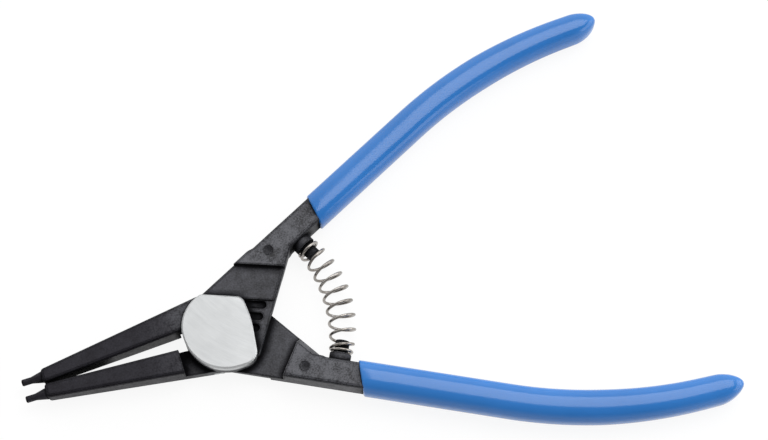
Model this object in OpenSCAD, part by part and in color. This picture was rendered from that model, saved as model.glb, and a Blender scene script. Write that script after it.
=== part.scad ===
// External circlip pliers, 180 mm: two forged arms in a riveted half-lap joint,
// straight tips, dipped handles and a barrel-shaped return spring.
// The hinge axis is Z through the origin, the jaws point along -X and the handles along +X.
// The pliers lie on the plane z = 0 with their jaws closed. All sizes are in millimetres.

/* [Joint] */
// Thickness of the joint across its two ground faces
joint_t = 9; // [9:0.1:12]
// Radius of the joint discs
disc_r = 12; // [11:0.1:13]
// Diameter of the pivot rivet
rivet_d = 8; // [5:0.1:10]
// Diameter of the rivet's sunk head
rivet_head_d = 11; // [10.5:0.1:14]
// Thickness of the rivet's sunk head
rivet_head_t = 1.6; // [0.8:0.1:2.4]
// Distance from the hinge axis to the straight edge of the ground face
face_chord = 8; // [7.2:0.1:9]
// Distance from the hinge axis to the bulged edge of the ground face
face_side = 6.6; // [6:0.1:7.4]
// Distance from the hinge axis to the ground face's edge above the jaw
face_shoulder_d = 11.2; // [11:0.1:11.6]
// Chamfer round the ground face
face_edge = 0.4; // [0.1:0.05:0.8]

/* [Arms] */
// Thickness of the forged arms at the shanks
arm_t = 7.4; // [6.4:0.1:7.4]
// Rounding along the forged edges
arm_edge = 0.7; // [0.4:0.05:0.8]
// Width of the shanks
shank_w = 6.9; // [6.4:0.1:7.6]
// Distance from the hinge axis to the neck's inner edge
neck_d = 10.3; // [9.8:0.1:10.8]
// Turn of the neck's inner edge from the tool's axis, in degrees
neck_turn = 32; // [26:1:36]
// Extra width of the front arm's neck on its outer edge
neck_out = 0.45; // [0.1:0.05:0.6]
// Distance along the handle to the end of that extra width
neck_out_s = 18.2; // [17:0.1:20]
// Lean of the neck's inner edge behind the lap, in degrees
neck_lean = 25; // [0:1:28]
// Fillet radius where the neck meets the shank
notch_r = 1.6; // [1:0.1:3]
// Distance from the hinge axis to the step at the shank end of the lap
lap_step_d = 18.9; // [17.5:0.1:20]
// Turn of that step from the tool's axis, in degrees
lap_step_turn = 39; // [34:1:44]
// Distance from the hinge axis to the step at the jaw end of the rear arm's lap
lap_jaw_d = 14.2; // [13.6:0.1:16]
// Gap between the rear disc and the step at the jaw end of the front arm's lap
lap_jaw_gap = 0.7; // [0.4:0.1:1.5]

/* [Sunk panel] */
// Distance from the hinge axis to the step between panel and shank
panel_d = 17.4; // [15:0.1:18.5]
// Turn of the panel's steps from the tool's axis, in degrees
panel_turn = 69; // [66:1:72]
// Depth of the panel below the shank's face
panel_depth = 1.2; // [0.6:0.1:1.6]
// Extra depth of the field beside the ground face
field_depth = 0.3; // [0.1:0.05:0.5]
// Number of grooves in that field
groove_n = 3; // [1:1:3]
// Width of a groove
groove_w = 2.2; // [1:0.1:2.8]
// Spacing of the grooves
groove_pitch = 3.2; // [3:0.1:3.4]
// Depth of a groove
groove_depth = 0.9; // [0.2:0.1:1]
// Distance from the straight edge of the ground face to the first groove
groove_start = 1.45; // [1.3:0.05:2]
// Rim left between the grooves and the neck's inner edge
groove_rim = 1.9; // [1:0.1:2.4]
// Radius of the round punch dimples on the shanks
dimple_r = 1.3; // [0.8:0.1:2]
// Depth of the dimples
dimple_depth = 0.5; // [0.1:0.05:0.6]
// Distance of the dimples along the shank
dimple_s = 22.2; // [20:0.1:25]

/* [Jaws] */
// Distance from the hinge axis to the jaw ends
jaw_reach = 50.3; // [40:0.1:60]
// Width of a jaw at its end
jaw_tip_w = 3.9; // [3.6:0.1:5]
// Thickness of a jaw at its end
jaw_tip_t = 4.8; // [4:0.1:6]
// Slope of a jaw's outer edge, in degrees
jaw_outer_slope = 8; // [6.5:0.1:9]
// Slope of a jaw's inner edge, in degrees
jaw_inner_slope = 3.5; // [2.5:0.1:4.5]
// Corner radius of the jaw ends
jaw_end_r = 0.9; // [0.8:0.1:1.2]

/* [Tips] */
// Diameter of the tip pins that enter the ring's holes
pin_d = 1.8; // [1:0.1:2.4]
// Length of the tip pins
pin_len = 2.6; // [1.5:0.1:5]
// Chamfer of the pin ends
pin_edge = 0.2; // [0.05:0.05:0.4]
// Diameter of the cone at the jaw end
cone_d = 3.2; // [2.6:0.1:3.3]
// Length of the cone
cone_len = 3; // [1:0.1:6]
// Distance of the tips from the tool's axis
tip_offset = 2.35; // [2:0.05:2.4]

/* [Handles] */
// Distance from the hinge axis to the handle ends
handle_reach = 125; // [115:0.5:140]
// Angle between a handle's straight stretch and the tool's axis
handle_angle = 27; // [24:0.5:29]
// Distance of the handle's centre line from the hinge axis
handle_offset = 7.7; // [7:0.1:8.4]
// Place of the handle's bend along the tool's axis
bend_x = 88; // [80:0.5:92]
// Radius of the handle's bend
bend_r = 128; // [90:1:140]
// Angle between the handle's end and the tool's axis
end_angle = 4; // [0:0.5:10]
// Width of the steel inside the handle's end
tang_end_w = 5.6; // [5.5:0.1:7]

/* [Grips] */
// Thickness of the dipped coat on the handle's sides
coat_t = 1.05; // [0.95:0.05:1.3]
// Thickness of the dipped coat on the handle's faces
coat_face_t = 0.8; // [0.7:0.05:0.8]
// Squareness of the coat's section: 2 is an ellipse, more is fuller
coat_power = 2.7; // [2.7:0.1:4]
// Length of the coat's rounded end
coat_end_len = 7; // [6:0.1:9]
// Distance from the coat's end to the end of the steel in it
coat_end_t = 3.8; // [3.6:0.1:6]
// Place along the tool's axis where the upper dip line crosses the handle's centre line
upper_dip_x = 31.3; // [29:0.1:38]
// Place along the tool's axis where the lower dip line crosses the handle's centre line
lower_dip_x = 29.6; // [29:0.1:38]
// Turn of the dip lines from square to the tool's axis towards square to the handle, in degrees
dip_turn = 9; // [0:1:27]

/* [Return spring] */
// Diameter of the spring wire
wire_d = 0.8; // [0.5:0.05:1]
// Outer diameter at the spring's ends
spring_end_d = 6.4; // [6.2:0.1:7]
// Outer diameter at the spring's middle
spring_mid_d = 8; // [7:0.1:9]
// Number of open coils
open_coils = 8; // [5:1:10]
// Number of closed coils at each end
closed_coils = 1; // [1:0.5:2]
// Turn of the wire's lower end about the spring's centre line, in degrees
coil_start = 205; // [0:5:355]

/* [Spring pegs] */
// Distance along the shank from the fillet at the neck to a peg's collar
peg_gap = 0.3; // [0.1:0.1:1]
// Diameter of a peg's collar
collar_d = 5.8; // [4.8:0.1:6.4]
// Height of a peg's collar
collar_h = 2.1; // [1.5:0.1:2.5]
// Diameter of the post inside the spring
post_d = 3.8; // [3.2:0.1:4.2]
// Height of the post above the collar
post_h = 3.6; // [2:0.1:4.2]
// Diameter of the peg's root, pressed into the shank
root_d = 3; // [2:0.1:3.2]
// Length of the root
root_len = 4; // [2:0.1:5]

/* [Fits] */
// Gap between the two lap faces
lap_gap = 0.1; // [0.05:0.01:0.2]
// Gap between the closed jaws at their ends
jaw_gap = 0.2; // [0.1:0.05:0.4]
// Radial clearance of the rivet in the rear arm
rivet_clear = 0.03; // [0.01:0.01:0.08]
// Axial clearance under the rivet's head
head_clear = 0.05; // [0.02:0.01:0.1]
// Clearance between the spring and its seats
spring_clear = 0.2; // [0.05:0.05:0.4]

/* [Hidden] */
$fn = 64;

forged_black = [0.17, 0.18, 0.19];
ground_steel = [0.80, 0.81, 0.82];
grip_blue = [0.16, 0.38, 0.74];
spring_grey = [0.42, 0.40, 0.38];

// Largest distance between a round stretch of an outline and its facets
curve_tol = 0.02;
// Facets across a rounded edge of the forgings
arm_edge_steps = 2;
// Sides of a coat's section, and rings of points along its bend and round its end
coat_sides = 32;
coat_bend_steps = 12;
coat_end_steps = 6;
// Set-back of a face that would else lie in the plane of another
skin = 0.03;
// Sides of the spring wire and rings to each coil
wire_sides = 8;
coil_steps = 18;
// Reach of a cutting block, larger than the pliers
far = 300;
mid_z = joint_t / 2;
arm_half = arm_t / 2;

// Plane geometry: a line is [angle of its normal, distance from the hinge axis]
function dir(a) = [cos(a), sin(a)];
function unit(v) = v / norm(v);
function meet(a, b) =
    let (d = sin(b[0] - a[0]))
    [a[1] * sin(b[0]) - b[1] * sin(a[0]), b[1] * cos(a[0]) - a[1] * cos(b[0])] / d;
function corner(p, r) = [p[0], p[1], r];

// An outline is a list of corners [x, y, radius], counter-clockwise.
// It becomes points [centre, direction, radius, side], side 1 on an outer corner and -1 on an inner one.
function corner_points(before, here, after) =
    let (
        q = [here[0], here[1]],
        u = unit([before[0], before[1]] - q),
        w = unit([after[0], after[1]] - q),
        side = cross(-u, w) > 0 ? 1 : -1,
        half = acos(u * w) / 2,
        sweep = 180 - 2 * half,
        centre = q + unit(u + w) * here[2] / sin(half),
        first = q + u * here[2] / tan(half) - centre,
        start = atan2(first[1], first[0]),
        n = max(1, ceil(sweep / (2 * acos(1 - curve_tol / max(here[2], 2 * curve_tol)))))
    )
    [for (i = [0:n]) [centre, dir(start + side * sweep * i / n), here[2], side]];
function place(point, inset = 0) = point[0] + point[1] * (point[2] - point[3] * inset);
function ring(points, inset = 0) = [for (p = points) place(p, inset)];
// Where two round corners run into each other, their shared point is kept once
function outline(corners) =
    let (
        n = len(corners),
        all = [for (i = [0:n - 1])
            each corner_points(corners[(i + n - 1) % n], corners[i], corners[(i + 1) % n])],
        m = len(all)
    )
    [for (i = [0:m - 1]) if (norm(place(all[i]) - place(all[(i + m - 1) % m])) > curve_tol / 10) all[i]];

// Edge profiles: [inset, drop] from the face to the side
function chamfer(c) = [[c, 0], [0, c]];
function round_edge(r, steps) =
    [for (k = [0:steps]) let (a = 90 * k / steps) [r * (1 - sin(a)), r * (1 - cos(a))]];

// Triangles that fill a counter-clockwise outline: corners with nothing inside them are cut off in turn
function beyond(a, b, q) = cross(b - a, q - a) < 0;
function within(a, b, c, q) = !beyond(a, b, q) && !beyond(b, c, q) && !beyond(c, a, q);
function free_corner(p, ids) =
    let (a = p[ids[0]], b = p[ids[1]], c = p[ids[2]])
    cross(b - a, c - b) > 0 && len([for (k = [3:len(ids) - 1]) if (within(a, b, c, p[ids[k]])) k]) == 0;
function from(ids, k) = concat([for (i = [k:len(ids) - 1]) ids[i]], [ids[0]]);
function triangles(p, ids) =
    len(ids) == 3 ? [ids]
    : free_corner(p, ids) ? concat([[ids[0], ids[1], ids[2]]], triangles(p, from(ids, 2)))
    : triangles(p, from(ids, 1));

// A slab of the given outline, symmetric about z = 0, with both its edges worked to a profile.
// Its half thickness is half_t at x = 0 and grows by slope for each millimetre of x.
module slab(corners, half_t, profile, slope = 0) {
    points = outline(corners);
    n = len(points);
    m = len(profile);
    upper = [for (k = [m - 1:-1:0]) profile[k]];
    rings = [
        for (e = profile) [for (p = ring(points, e[0])) [p[0], p[1], e[1] - half_t - slope * p[0]]],
        for (e = upper) [for (p = ring(points, e[0])) [p[0], p[1], half_t + slope * p[0] - e[1]]]
    ];
    last = 2 * m - 1;
    sides = [
        for (j = [0:last - 1], i = [0:n - 1])
            let (a = j * n + i, b = j * n + (i + 1) % n)
            each [[a, a + n, b + n], [a, b + n, b]]
    ];
    cap = triangles(ring(points, profile[0][0]), [for (i = [0:n - 1]) i]);
    top_cap = [for (t = cap) [last * n + t[2], last * n + t[1], last * n + t[0]]];
    polyhedron([for (r = rings) each r], concat(sides, cap, top_cap));
}

// A tube through rings of points, each ring counter-clockwise about the way ahead, closed at both ends
module tube(rings) {
    n = len(rings[0]);
    last = len(rings) - 1;
    sides = [
        for (j = [0:last - 1], i = [0:n - 1])
            let (a = j * n + i, b = j * n + (i + 1) % n)
            each [[a, a + n, b + n], [a, b + n, b]]
    ];
    caps = [[for (i = [0:n - 1]) i], [for (i = [n - 1:-1:0]) last * n + i]];
    polyhedron([for (r = rings) each r], concat(sides, caps));
}

// Everything on the hinge's side of a line
module half_plane(line) {
    rotate(line[0]) translate([line[1] - far, -far]) square([far, 2 * far]);
}

// Lines and places of one arm, seen from its ground face, with its handle on the +Y side
handle_outer = [handle_angle + 90, handle_offset + shank_w / 2];
handle_inner = [handle_angle + 90, handle_offset - shank_w / 2];
neck_line = [-neck_turn, neck_d];
panel_line = [panel_turn, panel_d];
chord_line = [panel_turn, face_chord];
jaw_in_y = jaw_gap / 2;
jaw_out_y = jaw_in_y + jaw_tip_w;
function jaw_inner(x) = [x, jaw_in_y + (x + jaw_reach) * tan(jaw_inner_slope)];
function jaw_outer(x) = [x, jaw_out_y + (x + jaw_reach) * tan(jaw_outer_slope)];
// A jaw grows to the shank's thickness where it enters the joint disc
jaw_growth = (arm_t - jaw_tip_t) / 2 / (jaw_reach - disc_r);

// Point at distance s along the handle and d out from the line through the hinge axis
function along_handle(s, d) = dir(handle_angle) * s + dir(handle_angle + 90) * d;
notch = meet(handle_inner, neck_line);
notch_end_s = notch * dir(handle_angle) + notch_r * tan((90 - handle_angle - neck_turn) / 2);
peg_s = notch_end_s + peg_gap + collar_d / 2;
peg_seat = along_handle(peg_s, handle_inner[1]);
peg_axis = handle_angle - 90;

// The handle's centre line: a point on its straight stretch, its bend, and a point past the bend
function straight_at(x) = [x, x * tan(handle_angle) + handle_offset / cos(handle_angle)];
bend = straight_at(bend_x);
bend_turn = handle_angle - end_angle;
function past_bend(x) = bend + dir(end_angle) * (x - bend_x) / cos(end_angle);
handle_end = past_bend(handle_reach);

// Corners of the steel in a handle, from its inner bend round to its outer bend
tang_end = past_bend(handle_reach - coat_end_t);
tang_end_out = dir(end_angle + 90) * tang_end_w / 2;
tang_end_r = tang_end_w / 2 - arm_edge;
bend_out = dir(end_angle + bend_turn / 2 + 90) * shank_w / 2 / cos(bend_turn / 2);
handle_corners = [
    corner(bend - bend_out, bend_r - shank_w / 2),
    corner(tang_end - tang_end_out, tang_end_r),
    corner(tang_end + tang_end_out, tang_end_r),
    corner(bend + bend_out, bend_r + shank_w / 2)
];

// Corner radius of what ends inside the joint, and where the jaw's two edges end there
inner_r = 1;
jaw_root_in = disc_r * 0.7;
jaw_root_out = disc_r / 3;
// Neck, shank and the steel inside the grip; both ends of the neck lie in the joint disc
neck_run = sqrt(disc_r * disc_r - neck_d * neck_d);
neck_foot = [
    corner([-disc_r / 2, 0], inner_r),
    corner([0, -disc_r / 2], inner_r),
    corner(neck_d * dir(-neck_turn) - neck_run * dir(90 - neck_turn), inner_r)
];
function neck_head(out) = [corner(along_handle(0, handle_outer[1] + out), inner_r)];
// Run and rounding of the slant from a wider neck's outer edge to the shank's
neck_slant = 1.4;
neck_slant_r = 3;
function neck_step(out) =
    out == 0 ? []
    : [corner(along_handle(neck_out_s + neck_slant, handle_outer[1]), neck_slant_r),
       corner(along_handle(neck_out_s, handle_outer[1] + out), neck_slant_r)];
function body_corners(out) =
    concat(neck_foot, [corner(notch, notch_r)], handle_corners, neck_step(out), neck_head(out));
// The thinner neck under the sunk panel runs on into the full shank by this much
neck_overlap = 2.5;
neck_end = [panel_turn, panel_d + neck_overlap];
function neck_corners(out) =
    concat(
        neck_foot,
        [corner(meet(neck_line, neck_end), inner_r),
         corner(meet(neck_end, [handle_outer[0], handle_outer[1] + out]), inner_r)],
        neck_head(out)
    );
jaw_corners = [
    corner(jaw_inner(-jaw_reach), jaw_end_r),
    corner(jaw_inner(-jaw_root_in), inner_r),
    corner(jaw_outer(-jaw_root_out), inner_r),
    corner(jaw_outer(-jaw_reach), jaw_end_r)
];

// Ground face: round like the disc to the left and below, one straight edge and one bulged edge
face_left = [180, disc_r];
face_top = [108, face_shoulder_d];
face_low = [270, disc_r];
// The bulged edge turns by this much to either side
face_bulge = 6.5;
bulge_low = [-face_bulge, face_side];
bulge_high = [face_bulge, face_side];
face_bulge_r = 25;
// Corner radii at the lower and upper end of the bulged edge, and at the far end of the straight edge
face_low_r = 3.6;
face_high_r = 2.2;
face_top_r = 1;
// Where the face's left and top edges would meet, how far from there they are rounded off, and the radius
face_shoulder = meet(face_top, face_left);
face_shoulder_run = min(face_shoulder[1], norm(meet(chord_line, face_top) - face_shoulder) - face_top_r / 2);
face_shoulder_r = face_shoulder_run / tan((face_left[0] - face_top[0]) / 2);
face_corners = [
    corner(meet(face_left, face_low), disc_r),
    corner(meet(face_low, bulge_low), face_low_r),
    corner(meet(bulge_low, bulge_high), face_bulge_r),
    corner(meet(bulge_high, chord_line), face_high_r),
    corner(meet(chord_line, face_top), face_top_r),
    corner(face_shoulder, face_shoulder_r)
];

forged_edge = round_edge(arm_edge, arm_edge_steps);

module body_slab(out) { slab(body_corners(out), arm_half, forged_edge); }

module neck_slab(out) {
    slab(neck_corners(out), arm_half - panel_depth, [for (e = forged_edge) [e[0] + skin, e[1]]]);
}

module jaw_slab() {
    slab(jaw_corners, jaw_tip_t / 2 + jaw_reach * jaw_growth, forged_edge, jaw_growth);
}

// Cone and pin turned on the jaw's end
module tip() {
    translate([-jaw_reach, tip_offset, 0]) rotate([0, -90, 0]) {
        translate([0, 0, -jaw_end_r]) cylinder(h = jaw_end_r, d = cone_d);
        cylinder(h = cone_len, d1 = cone_d, d2 = pin_d);
        translate([0, 0, cone_len]) cylinder(h = pin_len - pin_edge, d = pin_d);
        translate([0, 0, cone_len + pin_len - pin_edge])
            cylinder(h = pin_edge, d1 = pin_d, d2 = pin_d - 2 * pin_edge);
    }
}

// The lower field beside the ground face and its grooves
module field_cut() {
    field_z = arm_half - panel_depth - field_depth;
    translate([0, 0, field_z]) linear_extrude(joint_t) half_plane(chord_line);
    translate([0, 0, field_z - groove_depth]) linear_extrude(joint_t) grooves();
}

module grooves() {
    along = panel_turn - 90;
    for (k = [0:groove_n - 1]) {
        d = face_chord - groove_start - k * groove_pitch;
        reach = neck_d - groove_rim - groove_w / 2 - d * cos(panel_turn + neck_turn);
        run = reach / cos(along + neck_turn);
        rotate(along) translate([0, d]) {
            translate([0, -groove_w / 2]) square([run, groove_w]);
            translate([run, 0]) circle(d = groove_w);
        }
    }
}

// Punch dimples on both faces of the shank
module dimples() {
    ball_r = (dimple_r * dimple_r + dimple_depth * dimple_depth) / 2 / dimple_depth;
    spot = along_handle(dimple_s, handle_offset);
    for (s = [-1, 1])
        translate([spot[0], spot[1], s * (arm_half + ball_r - dimple_depth)]) sphere(r = ball_r);
}

// Room for the other arm's half of the lap, up to its step at the jaw
module lap_pocket(jaw_d) {
    translate([0, 0, lap_gap / 2 - joint_t]) linear_extrude(joint_t) intersection() {
        half_plane([180, jaw_d]);
        half_plane([lap_step_turn, lap_step_d]);
    }
}

// The neck's inner edge leans back behind the lap, up to a narrow land at the shank
notch_land = 0.15;
module neck_lean_cut() {
    intersection() {
        rotate(-neck_turn) translate([neck_d, 0, 0]) rotate([0, neck_lean, 0])
            translate([0, -far / 2, -far / 2]) cube(far);
        translate([0, 0, -joint_t]) linear_extrude(joint_t) intersection() {
            half_plane([handle_inner[0], handle_inner[1] - notch_land]);
            half_plane([handle_angle, peg_s]);
        }
    }
}

// One forged arm, ground face up, hinge axis through the origin and lap plane at z = 0.
// The arms differ in their bores, in the jaw end of their laps and in the neck's outer edge.
module arm(bore_d, jaw_d, out) {
    difference() {
        union() {
            difference() {
                body_slab(out);
                linear_extrude(joint_t) half_plane(panel_line);
            }
            difference() {
                neck_slab(out);
                field_cut();
            }
            slab(face_corners, mid_z, chamfer(face_edge));
            jaw_slab();
            tip();
        }
        lap_pocket(jaw_d);
        neck_lean_cut();
        dimples();
        translate([0, 0, -joint_t]) cylinder(h = 2 * joint_t, d = bore_d);
        translate([peg_seat[0], peg_seat[1], 0]) rotate([0, 90, peg_axis])
            translate([0, 0, -root_len]) cylinder(h = root_len + collar_h, d = root_d);
    }
}

// Places a piece of the front arm, or turns it over for the rear arm
module front_side() { translate([0, 0, mid_z]) children(); }
module rear_side() { translate([0, 0, mid_z]) rotate([180, 0, 0]) children(); }

module upper_arm() {
    color(forged_black) front_side() arm(rivet_d, disc_r + lap_jaw_gap, neck_out);
}

module lower_arm() {
    color(forged_black) rear_side() difference() {
        arm(rivet_d + 2 * rivet_clear, lap_jaw_d, 0);
        translate([0, 0, mid_z - rivet_head_t - head_clear])
            cylinder(h = joint_t, d = rivet_head_d + 2 * rivet_clear);
    }
}

// Rivet pressed into the front arm, with its sunk head in the rear arm
module pivot_rivet() {
    color(ground_steel) {
        cylinder(h = rivet_head_t, d = rivet_head_d);
        cylinder(h = joint_t, d = rivet_d);
    }
}

// Rings of the coat along the handle: [centre, direction, half width, half thickness]
coat_half_t = arm_half + coat_face_t;
function coat_half_w(p) =
    let (share = max(0, (p - bend) * dir(end_angle)) / norm(handle_end - bend))
    shank_w / 2 + coat_t + share * (tang_end_w - shank_w) / 2;
// What is left of the section at the share u of the rounded end
function fullness(u, power) = pow(1 - pow(u, power), 1 / power);
// The end is slim seen from above and full seen from the side, and its last ring is not quite a point
end_slim = 1.7;
end_full = 3;
end_turn = 88;
bend_centre = bend - dir(handle_angle) * bend_r * tan(bend_turn / 2) + dir(handle_angle - 90) * bend_r;
coat_path = [
    [straight_at(min(upper_dip_x, lower_dip_x) / 2), handle_angle, shank_w / 2 + coat_t, coat_half_t],
    for (k = [0:coat_bend_steps])
        let (a = handle_angle - bend_turn * k / coat_bend_steps, p = bend_centre + dir(a + 90) * bend_r)
        [p, a, coat_half_w(p), coat_half_t],
    for (k = [0:coat_end_steps])
        let (u = sin(end_turn * k / coat_end_steps), p = handle_end - dir(end_angle) * coat_end_len * (1 - u))
        [p, end_angle, coat_half_w(p) * fullness(u, end_slim), coat_half_t * fullness(u, end_full)]
];
function coat_ring(s) =
    [for (k = [0:coat_sides - 1])
        let (
            a = 360 * k / coat_sides,
            e = 2 / coat_power,
            q = s[0] + dir(s[1] + 90) * s[2] * sign(cos(a)) * pow(abs(cos(a)), e)
        )
        [q[0], q[1], s[3] * sign(sin(a)) * pow(abs(sin(a)), e)]];

// Dipped coat over the steel of one handle, from the dip line to past its end
module grip(dip_x) {
    difference() {
        tube([for (s = coat_path) coat_ring(s)]);
        body_slab(0);
        translate(straight_at(dip_x)) rotate(dip_turn) translate([-far, -far / 2, -far / 2]) cube(far);
    }
}

module upper_grip() { color(grip_blue) front_side() grip(upper_dip_x); }
module lower_grip() { color(grip_blue) rear_side() grip(lower_dip_x); }

// Peg pressed into the shank's inner edge: root, collar and the post that the spring slips over
module spring_peg() {
    translate([peg_seat[0], peg_seat[1], 0]) rotate([0, 90, peg_axis]) {
        translate([0, 0, -root_len]) cylinder(h = root_len, d = root_d);
        cylinder(h = collar_h, d = collar_d);
        cylinder(h = collar_h + post_h, d = post_d);
    }
}

module upper_spring_peg() { color(forged_black) front_side() spring_peg(); }
module lower_spring_peg() { color(forged_black) rear_side() spring_peg(); }

// The spring's centre line is an arc that leaves both pegs along their axes
spring_seat = peg_seat + dir(peg_axis) * collar_h;
spring_arc_r = spring_seat[1] / sin(handle_angle);
spring_arc_x = spring_seat[0] - spring_arc_r * cos(handle_angle);
spring_inset = (wire_d / 2 + spring_clear) / spring_arc_r * 180 / PI;
spring_span = 2 * (handle_angle - spring_inset);
coil_n = open_coils + 2 * closed_coils;
// Step from one closed coil to the next, in wire diameters, and the centre line's turn over it
closed_step = 1.06;
closed_pitch = closed_step * wire_d / spring_arc_r * 180 / PI;
open_pitch = (spring_span - 2 * closed_coils * closed_pitch) / open_coils;

// Angle along the centre line after t coils
function spring_angle(t) =
    let (
        into_open = max(0, min(open_coils, t - closed_coils)),
        into_end = max(0, t - closed_coils - open_coils)
    )
    spring_inset - handle_angle + (min(t, closed_coils) + into_end) * closed_pitch + into_open * open_pitch;
function coil_r(a) =
    let (u = a / handle_angle)
    (spring_end_d + (spring_mid_d - spring_end_d) * (1 - u * u) - wire_d) / 2;
function wire_ring(t) =
    let (
        a = spring_angle(t),
        out = [cos(a), sin(a), 0],
        along = [-sin(a), cos(a), 0],
        turn = coil_start + 360 * t,
        radial = out * cos(turn) - [0, 0, sin(turn)],
        centre = [spring_arc_x, 0, mid_z] + out * spring_arc_r + radial * coil_r(a)
    )
    [for (k = [0:wire_sides - 1])
        let (b = 360 * k / wire_sides)
        centre + (radial * cos(b) - along * sin(b)) * wire_d / 2];

module return_spring() {
    color(spring_grey) tube([for (k = [0:coil_n * coil_steps]) wire_ring(k / coil_steps)]);
}

lower_arm();
upper_arm();
pivot_rivet();
lower_grip();
upper_grip();
lower_spring_peg();
upper_spring_peg();
return_spring();
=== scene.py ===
import math

import bpy
import numpy as np
from mathutils import Matrix, Vector


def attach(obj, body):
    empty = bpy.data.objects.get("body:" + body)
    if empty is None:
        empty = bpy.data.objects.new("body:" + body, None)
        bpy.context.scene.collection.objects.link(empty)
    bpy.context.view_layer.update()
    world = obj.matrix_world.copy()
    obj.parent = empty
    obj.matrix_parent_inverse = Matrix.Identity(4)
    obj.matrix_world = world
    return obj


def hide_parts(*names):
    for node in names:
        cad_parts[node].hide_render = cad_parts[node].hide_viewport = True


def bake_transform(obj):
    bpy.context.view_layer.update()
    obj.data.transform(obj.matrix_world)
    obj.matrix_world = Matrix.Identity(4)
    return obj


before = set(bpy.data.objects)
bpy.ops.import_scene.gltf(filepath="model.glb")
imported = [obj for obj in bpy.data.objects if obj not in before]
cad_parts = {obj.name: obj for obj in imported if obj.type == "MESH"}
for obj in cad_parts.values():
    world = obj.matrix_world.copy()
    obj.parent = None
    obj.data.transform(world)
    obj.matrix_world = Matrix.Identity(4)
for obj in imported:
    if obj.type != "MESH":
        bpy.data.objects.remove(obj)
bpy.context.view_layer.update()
scene = bpy.context.scene
MM = 0.001

# Sizes shared with the solids, in millimetres and degrees
JOINT_T = 9.0
MID_Z = JOINT_T / 2
DISC_R = 12.0
ARM_T = 7.4
SHANK_W = 6.9
NECK_D = 10.3
NECK_TURN = 32.0
NOTCH_R = 1.6
TANG_END_W = 5.6
HANDLE_REACH = 125.0
HANDLE_ANGLE = 27.0
HANDLE_OFFSET = 7.7
BEND_X = 88.0
BEND_R = 128.0
END_ANGLE = 4.0
COAT_T = 1.05
COAT_FACE_T = 0.8
COAT_POWER = 2.7
COAT_END_LEN = 7.0
END_SLIM = 1.7
END_FULL = 3.0
UPPER_DIP_X = 31.3
LOWER_DIP_X = 29.6
DIP_TURN = 9.0
WIRE_D = 0.8
SPRING_END_D = 6.4
SPRING_MID_D = 8.0
OPEN_COILS = 8
CLOSED_COILS = 1
CLOSED_STEP = 1.06
COIL_START = 205.0
PEG_GAP = 0.3
COLLAR_D = 5.8
COLLAR_H = 2.1
SPRING_CLEAR = 0.2


# Angles in degrees

def cos(a):
    return math.cos(math.radians(a))


def sin(a):
    return math.sin(math.radians(a))


def tan(a):
    return math.tan(math.radians(a))


def direction(a):
    """Unit vector in the plane of the tool."""
    return np.array([cos(a), sin(a)])


def metres(*lengths):
    """Lengths in millimetres, turned into metres."""
    return tuple(length * MM for length in lengths)


# Mesh helpers

def new_object(name, vertices, faces):
    mesh = bpy.data.meshes.new(name)
    mesh.from_pydata([tuple(v) for v in vertices], [], faces)
    mesh.validate()
    mesh.update()
    mesh.polygons.foreach_set("use_smooth", [True] * len(mesh.polygons))
    obj = bpy.data.objects.new(name, mesh)
    scene.collection.objects.link(obj)
    return obj


def tube_faces(rings, sides):
    """Faces of a tube through rings of vertices, closed at both ends."""
    faces = []
    for j in range(rings - 1):
        for i in range(sides):
            a = j * sides + i
            b = j * sides + (i + 1) % sides
            faces.append((a, b, b + sides, a + sides))
    faces.append(tuple(reversed(range(sides))))
    faces.append(tuple((rings - 1) * sides + i for i in range(sides)))
    return faces


# Camera: focal length in pixels of the photo, place and aim given in millimetres

FOCAL_PX = 1600.0
IMAGE_W = 768.0
SENSOR_W = 36.0
CLIP_START = 10.0 * MM
CAMERA_PLACE = Vector((2.46, -127.85, 415.2)) * MM
CAMERA_AIM = Vector((49.03, 16.84, 4.5)) * MM
VIEW = CAMERA_AIM - CAMERA_PLACE


def make_camera():
    data = bpy.data.cameras.new("camera")
    data.sensor_fit = "HORIZONTAL"
    data.sensor_width = SENSOR_W
    data.lens = FOCAL_PX / IMAGE_W * SENSOR_W
    data.clip_start = CLIP_START
    camera = bpy.data.objects.new("camera", data)
    camera.location = CAMERA_PLACE
    camera.rotation_euler = VIEW.to_track_quat("-Z", "Y").to_euler()
    scene.collection.objects.link(camera)
    scene.camera = camera


make_camera()


# Node trees

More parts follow.
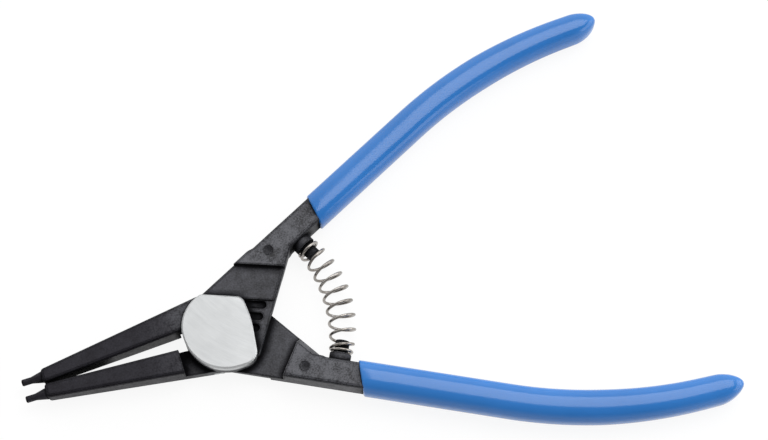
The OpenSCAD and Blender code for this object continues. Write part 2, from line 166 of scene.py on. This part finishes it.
class Nodes:
    """A node tree, with short ways to add nodes."""

    def __init__(self, tree):
        self.tree = tree

    def add(self, kind, **values):
        node = self.tree.nodes.new(kind)
        for key, value in values.items():
            setattr(node, key, value)
        return node

    def link(self, a, b):
        self.tree.links.new(a, b)

    def feed(self, socket, value):
        """Sets a socket to a number or a colour, or links an output to it."""
        if isinstance(value, (int, float)):
            socket.default_value = value
        elif isinstance(value, tuple):
            socket.default_value = (*value, 1.0)
        else:
            self.link(value, socket)

    def math(self, operation, *values, clamp=False):
        node = self.add("ShaderNodeMath", operation=operation, use_clamp=clamp)
        for socket, value in zip(node.inputs, values):
            self.feed(socket, value)
        return node.outputs[0]

    def product(self, first, *others):
        result = first
        for value in others:
            result = self.math("MULTIPLY", result, value)
        return result

    def total(self, first, *others):
        """Sum of pairs, each a value and its weight."""
        result = self.product(*first)
        for pair in others:
            result = self.math("ADD", result, self.product(*pair))
        return result

    def axes(self, vector):
        node = self.add("ShaderNodeSeparateXYZ")
        self.link(vector, node.inputs[0])
        return node.outputs

    def distance(self, x, y):
        """Distance of a point from the Z axis."""
        return self.math("SQRT", self.total((x, x), (y, y)))

    def ramp(self, value, low, high, to_low=0.0, to_high=1.0):
        """Goes from to_low to to_high while the value goes from low to high."""
        node = self.add("ShaderNodeMapRange", clamp=True)
        ends = {"From Min": low, "From Max": high, "To Min": to_low, "To Max": to_high}
        for end, number in ends.items():
            node.inputs[end].default_value = number
        self.link(value, node.inputs["Value"])
        return node.outputs["Result"]


class Finish(Nodes):
    """The node tree of a new material."""

    def __init__(self, name):
        self.material = bpy.data.materials.new(name)
        self.material.use_nodes = True
        super().__init__(self.material.node_tree)
        self.shader = self.tree.nodes["Principled BSDF"]
        self.place = self.add("ShaderNodeTexCoord").outputs["Object"]

    def put(self, name, value):
        self.feed(self.shader.inputs[name], value)

    def noise(self, scale, detail, rough, at=None):
        """Noise over the object's own place, or over another vector."""
        node = self.add("ShaderNodeTexNoise")
        node.inputs["Scale"].default_value = scale
        node.inputs["Detail"].default_value = detail
        node.inputs["Roughness"].default_value = rough
        self.link(self.place if at is None else at, node.inputs["Vector"])
        return node.outputs["Fac"]

    def mix(self, factor, a, b, kind="RGBA"):
        node = self.add("ShaderNodeMix", data_type=kind)
        first = {"FLOAT": 2, "VECTOR": 4, "RGBA": 6}[kind]
        for socket, value in zip((node.inputs[0], *node.inputs[first:first + 2]), (factor, a, b)):
            self.feed(socket, value)
        return node.outputs[{"FLOAT": 0, "VECTOR": 1, "RGBA": 2}[kind]]

    def tint(self, colour, mask, strength, goal):
        """Moves a colour towards the goal where the mask is 1, by the strength."""
        return self.mix(self.product(mask, strength), colour, goal)

    def bump(self, height, strength, distance, normal=None):
        node = self.add("ShaderNodeBump")
        node.inputs["Strength"].default_value = strength
        node.inputs["Distance"].default_value = distance
        self.link(height, node.inputs["Height"])
        if normal is not None:
            self.link(normal, node.inputs["Normal"])
        return node.outputs["Normal"]

    def surface(self, colour, roughness, normal):
        self.put("Base Color", colour)
        self.put("Roughness", roughness)
        self.put("Normal", normal)
        return self.material


# Ground steel: long arcs about a far centre

STEEL_DARK = (0.47, 0.48, 0.485)
STEEL_LIGHT = (0.61, 0.62, 0.625)
GRIND_CENTRE = metres(30.0, 26.0, 0.0)
# Stretch of the marks along their arcs, per radian, where one unit across them is a millimetre
GRIND_STRETCH = 2.2


def ground_surface(n):
    """Colour, roughness and normal of ground steel."""
    offset = n.add("ShaderNodeVectorMath", operation="SUBTRACT")
    n.link(n.place, offset.inputs[0])
    offset.inputs[1].default_value = GRIND_CENTRE
    x, y, _ = n.axes(offset.outputs[0])
    arcs = n.add("ShaderNodeCombineXYZ")
    n.link(n.product(n.distance(x, y), 1 / MM), arcs.inputs[0])
    n.link(n.product(n.math("ARCTAN2", y, x), GRIND_STRETCH), arcs.inputs[1])
    fine = n.noise(scale=5.5, detail=4.0, rough=0.6, at=arcs.outputs[0])
    broad = n.noise(scale=0.9, detail=3.0, rough=0.6, at=arcs.outputs[0])
    cloud = n.noise(scale=160.0, detail=3.0, rough=0.5)
    tone = n.total((fine, 0.5), (broad, 0.3), (cloud, 0.3))
    colour = n.mix(n.ramp(tone, 0.38, 0.72), STEEL_DARK, STEEL_LIGHT)
    roughness = n.ramp(fine, 0.3, 0.7, to_low=0.36, to_high=0.52)
    return colour, roughness, n.bump(fine, strength=0.10, distance=0.05 * MM)


def ground_steel(name):
    n = Finish(name)
    n.put("Metallic", 1.0)
    return n.surface(*ground_surface(n))


# Black phosphated forging: grain, a painted sheen on the edges in patches, faces greyed by handling, and
# painted shade with dirt in the hollows, between the parts and in a thin line beside each edge

SCALE_DARK = (0.008, 0.008, 0.0105)
SCALE_LIGHT = (0.050, 0.0505, 0.064)
EDGE_SHEEN = (0.14, 0.14, 0.148)
# Painted sheen on the edges
HANDLED = (0.120, 0.122, 0.137)
JAW_BLACK = (0.010, 0.008, 0.013)
# Painted shade with dirt, for the hollows, the gaps between the parts and a line beside each edge
SHADE_AND_DIRT = (0.003, 0.003, 0.0034)
EDGE_R = 0.8 * MM
EDGE_SAMPLES = 6
HOLLOW_REACH = 2.6 * MM
HOLLOW_SAMPLES = 12
# Where a mask begins and where it is full: heights from the middle plane, radii from the hinge, places in X
SHANK_FACE = metres(ARM_T / 2 - 0.4, ARM_T / 2 - 0.1)
GROUND_FACE = metres(ARM_T / 2 + 0.18, ARM_T / 2 + 0.26)
RIM_HEIGHT = metres(1.8, 2.6)
RIM_INSIDE = metres(DISC_R - 1.2, DISC_R - 0.9)
RIM_OUTSIDE = metres(DISC_R + 0.4, DISC_R + 0.2)
JAWS = metres(-8.0, -16.0)
# How far the edge of the ground face wanders in height
GROUND_WANDER = 0.3 * MM
# Specular level of the scale outside and inside the painted shade and dirt, and the share of it on the jaws
UNSHADED_GLOSS = 0.5
SHADED_GLOSS = 0.06
JAW_GLOSS = 0.48


def edge_normal(n):
    """Normal with rounded edges, and how far it follows the face: 1 on a flat, less towards an edge."""
    rounded = n.add("ShaderNodeBevel", samples=EDGE_SAMPLES)
    rounded.inputs["Radius"].default_value = EDGE_R
    follow = n.add("ShaderNodeVectorMath", operation="DOT_PRODUCT")
    n.link(rounded.outputs["Normal"], follow.inputs[0])
    n.link(n.add("ShaderNodeNewGeometry").outputs["Normal"], follow.inputs[1])
    return rounded.outputs["Normal"], follow.outputs["Value"]


def hollow_shade_and_dirt(n, follow):
    """Painted shade with dirt: darker in the hollows and between the parts, and a painted dark line beside
    each edge.
    """
    hollow = n.add("ShaderNodeAmbientOcclusion", samples=HOLLOW_SAMPLES)
    hollow.inputs["Distance"].default_value = HOLLOW_REACH
    # Painted dark line where each edge's rounding begins
    shade_line = n.product(n.ramp(follow, 0.998, 0.97), n.ramp(follow, 0.80, 0.88))
    return n.math("MAXIMUM", n.ramp(hollow.outputs["AO"], 0.97, 0.70), shade_line)


def ground_mask(n, rise, coarse, shade_and_dirt):
    """The raised faces of the joint, and the upright rim of its disc where no painted shade and dirt lie."""
    wander = n.product(n.math("SUBTRACT", coarse, 0.5), GROUND_WANDER)
    face = n.ramp(n.math("ADD", rise, wander), *GROUND_FACE)
    x, y, _ = n.axes(n.place)
    radius = n.distance(x, y)
    tilt = n.axes(n.add("ShaderNodeNewGeometry").outputs["True Normal"])[2]
    upright = n.ramp(n.math("ABSOLUTE", tilt), 0.5, 0.3)
    ring = n.product(n.ramp(radius, *RIM_INSIDE), n.ramp(radius, *RIM_OUTSIDE))
    rim = n.product(ring, upright, n.ramp(rise, *RIM_HEIGHT), n.ramp(shade_and_dirt, 0.7, 0.2))
    return n.math("MAXIMUM", face, rim)


def forged_steel(name, with_ground_faces):
    """The forging's finish, with or without the joint's faces of bare ground steel."""
    n = Finish(name)
    x, _, z = n.axes(n.place)
    rise = n.math("ABSOLUTE", n.math("SUBTRACT", z, MID_Z * MM))
    coarse = n.noise(scale=420.0, detail=4.0, rough=0.6)
    grain = n.noise(scale=2300.0, detail=3.0, rough=0.65)
    patch = n.noise(scale=90.0, detail=2.0, rough=0.5)
    tone = n.total((coarse, 0.35), (grain, 0.45), (patch, 0.2))
    rounded, follow = edge_normal(n)
    # Painted shade with dirt: the hollows, the gaps between the parts and a thin line beside each edge are
    # darker and less glossy
    shade_and_dirt = hollow_shade_and_dirt(n, follow)
    # Painted sheen: the edges lighter, in patches
    edge_sheen = n.product(n.ramp(follow, 0.86, 0.78), n.ramp(coarse, 0.42, 0.6))
    handled = n.product(n.ramp(rise, *SHANK_FACE), n.ramp(tone, 0.42, 0.56))
    jaw = n.ramp(x, *JAWS)
    colour = n.mix(n.ramp(tone, 0.40, 0.62), SCALE_DARK, SCALE_LIGHT)
    colour = n.tint(colour, edge_sheen, 0.6, EDGE_SHEEN)
    colour = n.tint(colour, handled, 0.7, HANDLED)
    colour = n.tint(colour, jaw, 0.65, JAW_BLACK)
    colour = n.tint(colour, shade_and_dirt, 0.92, SHADE_AND_DIRT)
    shade_gloss = n.ramp(shade_and_dirt, 0.0, 1.0, to_low=UNSHADED_GLOSS, to_high=SHADED_GLOSS)
    n.put("Specular IOR Level", n.product(shade_gloss, n.ramp(jaw, 0.0, 1.0, to_low=1.0, to_high=JAW_GLOSS)))
    scale_rough = n.ramp(tone, 0.40, 0.62, to_low=0.60, to_high=0.44)
    roughness = n.math("ADD", scale_rough, n.product(shade_and_dirt, 0.3), clamp=True)
    height = n.total((coarse, 0.6), (grain, 0.4))
    normal = n.bump(height, strength=0.6, distance=0.12 * MM, normal=rounded)
    if with_ground_faces:
        ground = ground_mask(n, rise, coarse, shade_and_dirt)
        steel, steel_rough, steel_normal = ground_surface(n)
        colour = n.mix(ground, colour, steel)
        roughness = n.mix(ground, roughness, steel_rough, "FLOAT")
        normal = n.mix(ground, normal, steel_normal, "VECTOR")
        n.put("Metallic", ground)
    return n.surface(colour, roughness, normal)


# Drawn spring wire

WIRE_DARK = (0.26, 0.24, 0.22)
WIRE_LIGHT = (0.42, 0.395, 0.37)
WIRE_STREAK = (0.10, 0.085, 0.075)


def spring_wire(name):
    n = Finish(name)
    streak = n.noise(scale=900.0, detail=4.0, rough=0.6)
    patch = n.noise(scale=160.0, detail=2.0, rough=0.5)
    colour = n.mix(n.ramp(patch, 0.35, 0.65), WIRE_DARK, WIRE_LIGHT)
    colour = n.tint(colour, n.ramp(streak, 0.5, 0.75), 0.5, WIRE_STREAK)
    roughness = n.ramp(streak, 0.3, 0.7, to_low=0.14, to_high=0.28)
    n.put("Metallic", 1.0)
    return n.surface(colour, roughness, n.bump(streak, strength=0.15, distance=0.03 * MM))


# Dipped soft plastic: clouded blue, faint specks and a slow wave in its gloss

COAT_DARK = (0.022, 0.167, 0.51)
COAT_LIGHT = (0.030, 0.192, 0.57)
COAT_SPECK = (0.06, 0.25, 0.61)
COAT_IOR = 1.5


def dipped_coat(name):
    n = Finish(name)
    wave = n.noise(scale=130.0, detail=2.0, rough=0.5)
    peel = n.noise(scale=900.0, detail=2.0, rough=0.5)
    cloud = n.noise(scale=45.0, detail=3.0, rough=0.55)
    speck = n.ramp(n.noise(scale=2600.0, detail=1.0, rough=0.5), 0.70, 0.78)
    colour = n.mix(n.ramp(cloud, 0.32, 0.68), COAT_DARK, COAT_LIGHT)
    colour = n.tint(colour, speck, 0.25, COAT_SPECK)
    roughness = n.ramp(peel, 0.3, 0.7, to_low=0.12, to_high=0.18)
    n.put("IOR", COAT_IOR)
    height = n.total((wave, 0.8), (peel, 0.2))
    return n.surface(colour, roughness, n.bump(height, strength=0.08, distance=0.2 * MM))


# The finishes, and the solids that keep their own shape

arm_steel = forged_steel("forged_black", True)
peg_steel = forged_steel("forged_peg", False)
face_steel = ground_steel("ground_steel")
wire_steel = spring_wire("spring_steel")
coat_blue = dipped_coat("grip_blue")


def dress(node, material):
    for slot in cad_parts[node].material_slots:
        slot.material = material


for arm in ("lower_arm", "upper_arm"):
    dress(arm, arm_steel)
for peg in ("lower_spring_peg", "upper_spring_peg"):
    dress(peg, peg_steel)
dress("pivot_rivet", face_steel)


# Dipped grips: a crowned section along the handle's centre line, a round lip at the dip line and a domed end

GRIP_HALF_W = SHANK_W / 2 + COAT_T
GRIP_HALF_T = ARM_T / 2 + COAT_FACE_T
GRIP_END_HALF_W = TANG_END_W / 2 + COAT_T
LIP_R = 0.55
# Turn from one ring of the lip to the next, in degrees
LIP_STEP = 15
# How far the lip's first ring lies inside the steel, and the length over which the dip line's slant fades
LIP_ROOT = 0.9
SLANT_FADE = 20.0
# The domed end's last ring, short of the 90 degrees at which it would be a point
END_TURN = 89.0
SECTION_SIDES = 72
STRAIGHT_STEPS = 14
BEND_STEPS = 28
LAST_STEPS = 7
END_STEPS = 14


def straight_at(x):
    """Point of the handle's centre line on its straight stretch."""
    return np.array([x, x * tan(HANDLE_ANGLE) + HANDLE_OFFSET / cos(HANDLE_ANGLE)])


def fullness(u, power):
    """What is left of the section at the share u of the rounded end."""
    return (1 - u ** power) ** (1 / power)


def centre_line(dip_x):
    """Stations of the upper handle as (point, angle, half width, half thickness)."""
    bend = straight_at(BEND_X)
    turn = HANDLE_ANGLE - END_ANGLE
    arc_start = bend - direction(HANDLE_ANGLE) * BEND_R * tan(turn / 2)
    arc_centre = arc_start + direction(HANDLE_ANGLE - 90) * BEND_R
    end = bend + direction(END_ANGLE) * (HANDLE_REACH - BEND_X) / cos(END_ANGLE)
    start = straight_at(dip_x)
    length = np.linalg.norm(end - bend)

    def half_w(p):
        share = max(0.0, float((p - bend) @ direction(END_ANGLE)) / length)
        return GRIP_HALF_W + (GRIP_END_HALF_W - GRIP_HALF_W) * share

    stations = []
    for u in np.linspace(0.0, 1.0, STRAIGHT_STEPS)[:-1]:
        stations.append((start + (arc_start - start) * u, HANDLE_ANGLE, GRIP_HALF_W, GRIP_HALF_T))
    for k in range(BEND_STEPS + 1):
        a = HANDLE_ANGLE - turn * k / BEND_STEPS
        p = arc_centre + direction(a + 90) * BEND_R
        stations.append((p, a, half_w(p), GRIP_HALF_T))
    round_start = end - direction(END_ANGLE) * COAT_END_LEN
    last = stations[-1][0]
    for u in np.linspace(0.0, 1.0, LAST_STEPS)[1:-1]:
        p = last + (round_start - last) * u
        stations.append((p, END_ANGLE, half_w(p), GRIP_HALF_T))
    for k in range(END_STEPS):
        u = sin(END_TURN * k / (END_STEPS - 1))
        p = round_start + direction(END_ANGLE) * COAT_END_LEN * u
        width = half_w(p) * fullness(u, END_SLIM)
        stations.append((p, END_ANGLE, width, GRIP_HALF_T * fullness(u, END_FULL)))
    return stations


def section(half_w, half_t):
    """Points of the crowned section, across the handle and up."""
    a = np.linspace(0.0, 2 * math.pi, SECTION_SIDES, endpoint=False)
    c = np.cos(a)
    s = np.sin(a)
    e = 2 / COAT_POWER
    return np.stack([half_w * np.sign(c) * np.abs(c) ** e, half_t * np.sign(s) * np.abs(s) ** e], axis=1)


def ring(p, angle, half_w, half_t, slant):
    """A section set across the centre line at a point, and slanted along it."""
    points = section(half_w, half_t)
    xy = p + points[:, :1] * (direction(angle + 90) + slant * direction(angle))
    return np.column_stack([xy, points[:, 1]])


def grip_rings(dip_x):
    stations = centre_line(dip_x)
    axis = direction(HANDLE_ANGLE)
    first = stations[0][0]
    slant = tan(HANDLE_ANGLE - DIP_TURN)
    # The lip: from inside the steel out over a quarter round
    rings = [ring(first, HANDLE_ANGLE, SHANK_W / 2 - LIP_ROOT, ARM_T / 2 - LIP_ROOT, slant)]
    for a in range(0, 90, LIP_STEP):
        inset = LIP_R * (1 - sin(a))
        p = first + axis * LIP_R * (1 - cos(a))
        rings.append(ring(p, HANDLE_ANGLE, GRIP_HALF_W - inset, GRIP_HALF_T - inset, slant))
    for k, (p, angle, half_w, half_t) in enumerate(stations):
        if k == 0:
            p = p + axis * LIP_R
        fade = max(0.0, 1 - np.linalg.norm(p - first) / SLANT_FADE)
        rings.append(ring(p, angle, half_w, half_t, slant * fade))
    return rings


def make_grip(name, side, dip_x, body, node):
    """The grip of the upper handle, side 1, or turned over for the lower handle, side -1."""
    rings = grip_rings(dip_x)
    x, y, z = np.concatenate(rings).T
    vertices = np.column_stack([x, side * y, MID_Z + side * z]) * MM
    grip = new_object(name, vertices, tube_faces(len(rings), SECTION_SIDES))
    grip.data.materials.append(coat_blue)
    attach(grip, body)
    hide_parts(node)


make_grip("upper_dipped_grip", 1, UPPER_DIP_X, "front_arm", "upper_grip")
make_grip("lower_dipped_grip", -1, LOWER_DIP_X, "rear_arm", "lower_grip")


# Return spring: round wire on a bowed, barrel-shaped coil between the pegs' collars

SHANK_INNER = HANDLE_OFFSET - SHANK_W / 2
NOTCH_TURN = 90 - HANDLE_ANGLE - NECK_TURN
NOTCH_S = (NECK_D + SHANK_INNER * cos(NOTCH_TURN)) / sin(NOTCH_TURN)
PEG_S = NOTCH_S + NOTCH_R * tan(NOTCH_TURN / 2) + PEG_GAP + COLLAR_D / 2
PEG_SEAT = direction(HANDLE_ANGLE + 90) * SHANK_INNER + direction(HANDLE_ANGLE) * PEG_S
SPRING_SEAT = PEG_SEAT + direction(HANDLE_ANGLE - 90) * COLLAR_H
ARC_R = SPRING_SEAT[1] / sin(HANDLE_ANGLE)
ARC_X = SPRING_SEAT[0] - ARC_R * cos(HANDLE_ANGLE)
INSET = math.degrees((WIRE_D / 2 + SPRING_CLEAR) / ARC_R)
COIL_N = OPEN_COILS + 2 * CLOSED_COILS
CLOSED_PITCH = math.degrees(CLOSED_STEP * WIRE_D / ARC_R)
OPEN_PITCH = (2 * (HANDLE_ANGLE - INSET) - 2 * CLOSED_COILS * CLOSED_PITCH) / OPEN_COILS
WIRE_SIDES = 12
COIL_STEPS = 40
# Share of a coil to either side over which the wire's heading is taken
HEADING_STEP = 0.004


def open_share(t):
    """How far along the open coils the wire is after t coils, from 0 to 1."""
    return max(0.0, min(1.0, (t - CLOSED_COILS) / OPEN_COILS))


def spring_angle(t):
    """Angle along the bowed centre line after t coils."""
    opened = open_share(t) * OPEN_COILS
    return INSET - HANDLE_ANGLE + (t - opened) * CLOSED_PITCH + opened * OPEN_PITCH


def wire_point(t):
    """Centre of the wire after t coils, and the way out from the spring's centre line there."""
    a = spring_angle(t)
    u = a / HANDLE_ANGLE
    r = (SPRING_END_D + (SPRING_MID_D - SPRING_END_D) * (1 - u * u) - WIRE_D) / 2
    turn = 360 * t + COIL_START
    out = np.array([cos(a), sin(a), 0.0])
    radial = out * cos(turn) - np.array([0.0, 0.0, sin(turn)])
    return np.array([ARC_X, 0.0, MID_Z]) + out * ARC_R + radial * r, radial


def wire_ring(t):
    """Points round the wire, square to its heading."""
    centre, radial = wire_point(t)
    heading = wire_point(t + HEADING_STEP)[0] - wire_point(t - HEADING_STEP)[0]
    heading /= np.linalg.norm(heading)
    side = np.cross(heading, radial)
    side /= np.linalg.norm(side)
    up = np.cross(side, heading)
    turns = [360 * i / WIRE_SIDES for i in range(WIRE_SIDES)]
    return [(centre + (up * cos(b) + side * sin(b)) * WIRE_D / 2) * MM for b in turns]


def make_spring():
    steps = [k / COIL_STEPS for k in range(COIL_N * COIL_STEPS + 1)]
    vertices = [point for t in steps for point in wire_ring(t)]
    spring = new_object("coil_spring", vertices, tube_faces(len(steps), WIRE_SIDES))
    spring.data.materials.append(wire_steel)
    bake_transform(spring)
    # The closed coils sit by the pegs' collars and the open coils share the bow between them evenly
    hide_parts("return_spring")


make_spring()


# Floor: white paper, which the camera and reflections see at an even brightness with the tool's shadow on it

PAPER_DARK = (0.84, 0.84, 0.84)
PAPER_LIGHT = (0.86, 0.86, 0.86)
PAPER_ROUGH = 0.9
WHITE = (1.0, 1.0, 1.0)
# Of the brightness that is seen, the part that glows and the part that takes light and shadow
SEEN_GLOW = 0.90
SEEN_PAPER = (0.12, 0.12, 0.12)
# Width of the floor, in metres
FLOOR_SIZE = 4.0
# Middle of the tool, which the lamps are aimed at
TOOL = Vector((35.0, 0.0, 0.0)) * MM


def floor_paper(name):
    n = Finish(name)
    path = n.add("ShaderNodeLightPath")
    seen = n.math("MAXIMUM", path.outputs["Is Camera Ray"], path.outputs["Is Glossy Ray"])
    paper = n.mix(n.noise(scale=3.0, detail=3.0, rough=0.55), PAPER_DARK, PAPER_LIGHT)
    n.put("Base Color", n.mix(seen, paper, SEEN_PAPER))
    n.put("Roughness", PAPER_ROUGH)
    n.put("Specular IOR Level", 0.0)
    n.put("Emission Color", WHITE)
    n.put("Emission Strength", n.product(seen, SEEN_GLOW))
    return n.material


bpy.ops.mesh.primitive_plane_add(size=FLOOR_SIZE, location=TOOL)
floor = bpy.context.object
floor.name = "floor"
floor.data.materials.append(floor_paper("floor"))
# The floor takes shadows and casts none, so that it makes no hollow under the tool
floor.visible_shadow = False


# Light, placed by the camera's view of the tool: away from the camera, to its right, and up

UP = Vector((0.0, 0.0, 1.0))
AWAY = Vector((VIEW.x, VIEW.y, 0.0)).normalized()
RIGHT = AWAY.cross(UP)
# Radiance of the dome over the angle from the zenith, negative towards the camera and positive away from it
DOME = ((-90, 1.0), (-65, 0.5), (-45, 0.22), (-5, 0.25), (8, 0.5),
        (25, 0.9), (40, 1.2), (60, 1.45), (90, 1.3))


def softbox(name, back, right, distance, size, radiance):
    """A lamp at angles back and right of the zenith; its size, in metres, is across and along the view."""
    z = AWAY * cos(right) * sin(back) + RIGHT * sin(right) + UP * cos(right) * cos(back)
    x = (RIGHT - z * RIGHT.dot(z)).normalized()
    data = bpy.data.lights.new(name, "AREA")
    data.shape = "RECTANGLE"
    data.size, data.size_y = size
    data.energy = radiance * math.pi * size[0] * size[1]
    light = bpy.data.objects.new(name, data)
    light.location = TOOL + z * distance
    light.rotation_euler = Matrix((x, z.cross(x), z)).transposed().to_euler()
    scene.collection.objects.link(light)
    return light


def studio_world():
    """A soft dome: bright behind and above the tool, dim on the camera's side, black below the floor."""
    world = bpy.data.worlds.new("studio")
    world.use_nodes = True
    scene.world = world
    n = Nodes(world.node_tree)
    x, y, z = n.axes(n.add("ShaderNodeTexCoord").outputs["Generated"])
    angle = n.math("ARCTAN2", n.total((x, AWAY.x), (y, AWAY.y)), z)
    dome = n.add("ShaderNodeValToRGB")
    dome.color_ramp.interpolation = "EASE"
    stops = dome.color_ramp.elements
    brightest = max(radiance for _, radiance in DOME)
    # All stops are made before any is coloured, because a new stop moves the others in the list
    for a, _ in DOME[1:-1]:
        stops.new((a + 90) / 180)
    for stop, (_, radiance) in zip(stops, DOME):
        stop.color = (*[radiance / brightest] * 3, 1.0)
    n.link(n.math("ADD", n.math("DIVIDE", angle, math.pi), 0.5), dome.inputs["Fac"])
    background = n.tree.nodes["Background"]
    n.link(dome.outputs["Color"], background.inputs["Color"])
    n.link(n.product(n.math("GREATER_THAN", z, 0.0), brightest), background.inputs["Strength"])


studio_world()
softbox("key", back=20.0, right=17.0, distance=1.0, size=(0.72, 0.57), radiance=2.8)
# A weaker lamp lights the sides that face right, and no view shows it
fill = softbox("fill", back=0.0, right=72.0, distance=0.5, size=(0.30, 0.50), radiance=1.7)
fill.visible_camera = False

scene.view_settings.view_transform = "Standard"
